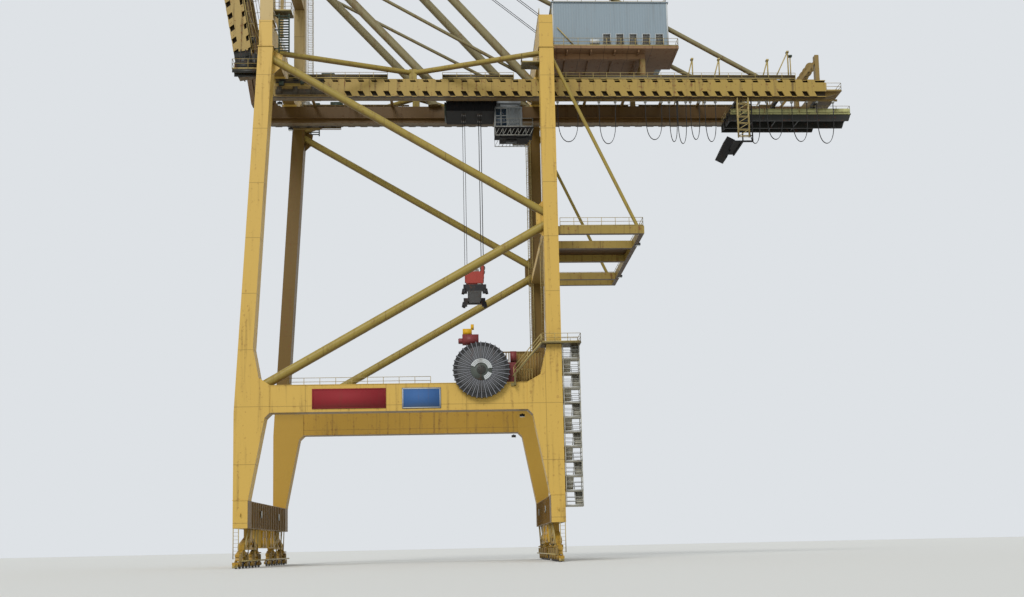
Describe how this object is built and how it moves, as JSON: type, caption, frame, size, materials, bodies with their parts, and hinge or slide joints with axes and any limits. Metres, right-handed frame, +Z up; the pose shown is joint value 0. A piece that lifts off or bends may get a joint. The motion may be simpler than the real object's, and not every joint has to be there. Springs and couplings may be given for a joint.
{
  "type": "ship-to-shore container crane, 1:10 scale model",
  "caption": "Rail-mounted quayside container gantry crane with raised twin-girder boom, A-frame tower, landside machinery house, trolley, spreader and cable reel, as a 1:10 scale model.",
  "frame": {"origin": "on the rail-top plane, midway between the two rails and midway between the two portal frames", "axes": "+X from the waterside rail towards the landside rail, +Y along the quay from the near frame to the far frame, +Z up"},
  "size_m": [7.5841, 2.524, 10.1518],
  "materials": {
    "crane_paint": "weathered satin",
    "grimy_paint": "dirty matt",
    "wheel_steel": "rolled tread",
    "olive_paint": "weathered matt",
    "underframe_paint": "dirty matt",
    "house_cladding": "matt",
    "reel_paint": "matt",
    "reel_drive_paint": "weathered satin",
    "trolley_paint": "greasy",
    "cab_paint": "satin",
    "rope_steel": "greased wire rope",
    "spreader_paint": "worn satin",
    "spreader_frame_paint": "worn matt"
  },
  "bodies": {
    "portal": {"sill_beam_waterside": "crane_paint", "sill_beam_landside": "crane_paint", "bogies_waterside_near": "crane_paint", "bogies_waterside_far": "crane_paint", "bogies_landside_near": "crane_paint", "bogies_landside_far": "crane_paint", "wheels_waterside": "wheel_steel", "wheels_landside": "wheel_steel", "waterside_leg_near": "crane_paint", "waterside_leg_far": "crane_paint", "landside_leg_near": "crane_paint", "landside_leg_far": "crane_paint", "portal_beam_near": "crane_paint", "portal_beam_far": "crane_paint", "diagonals_near": "crane_paint", "diagonals_far": "crane_paint", "waterside_cross_beam": "crane_paint", "landside_cross_beam": "crane_paint", "landside_mid_beam": "crane_paint", "outrigger_frame": "olive_paint", "outrigger_ties": "crane_paint", "girder_near": "crane_paint", "girder_far": "crane_paint", "girder_ties": "grimy_paint", "girder_walkways": "olive_paint", "girder_end_frame": "crane_paint", "end_platform": "olive_paint", "service_box": "trolley_paint", "plan_braces": "crane_paint", "tower_leg_near": "crane_paint", "tower_leg_far": "crane_paint", "tower_beam": "crane_paint", "tower_top_near": "crane_paint", "tower_top_far": "crane_paint", "apex_beam": "crane_paint", "back_legs": "crane_paint", "tower_stays": "crane_paint", "backstays": "crane_paint", "house_deck": "underframe_paint", "house_support": "crane_paint", "machinery_house": "house_cladding", "reel_stand": "reel_drive_paint", "portal_cabinet": "olive_paint", "stair_tower": "olive_paint", "leg_platform": "olive_paint"},
    "boom": {"boom_near": "crane_paint", "boom_far": "crane_paint", "boom_ties": "crane_paint"},
    "forestay_upper": {"forestay_upper": "crane_paint"},
    "forestay_lower": {"forestay_lower": "crane_paint"},
    "trolley": {"trolley": "trolley_paint", "operator_cab": "cab_paint", "hoist_ropes": "rope_steel", "cab_platform": "trolley_paint"},
    "spreader": {"spreader": "spreader_frame_paint", "headblock": "spreader_paint"},
    "cable_reel": {"cable_reel": "reel_paint"}
  },
  "joints": [
    {"name": "boom_hinge", "type": "hinge", "parent": "portal", "child": "boom", "pos_m": [-1.503, 0, 5.23], "axis": [0, -1, 0], "range_deg": [0, 80.3]},
    {"name": "forestay_apex_pivot", "type": "hinge", "parent": "portal", "child": "forestay_upper", "pos_m": [-1.40183, 0, 8.18], "axis": [0, 1, 0], "range_deg": [0, 49.15]},
    {"name": "forestay_knee_pivot", "type": "hinge", "parent": "forestay_upper", "child": "forestay_lower", "pos_m": [-1.43506, 0, 6.13861], "axis": [0, -1, 0], "range_deg": [0, 164.83]},
    {"name": "trolley_travel", "type": "slide", "parent": "portal", "child": "trolley", "axis": [1, 0, 0], "range_m": [-1.9, 1.6]},
    {"name": "hoist", "type": "slide", "parent": "trolley", "child": "spreader", "axis": [0, 0, 1], "range_m": [-2.75, 1.35], "deforming": ["hoist_ropes"]},
    {"name": "reel_spin", "type": "hinge", "parent": "portal", "child": "cable_reel", "pos_m": [0.8, -1.07, 1.875], "axis": [0, -1, 0], "continuous": true}
  ],
  "couplings": [
    {"joint": "forestay_apex_pivot", "follows": "boom_hinge", "ratio": 0.61199},
    {"joint": "forestay_knee_pivot", "follows": "boom_hinge", "ratio": 2.0526}
  ]
}
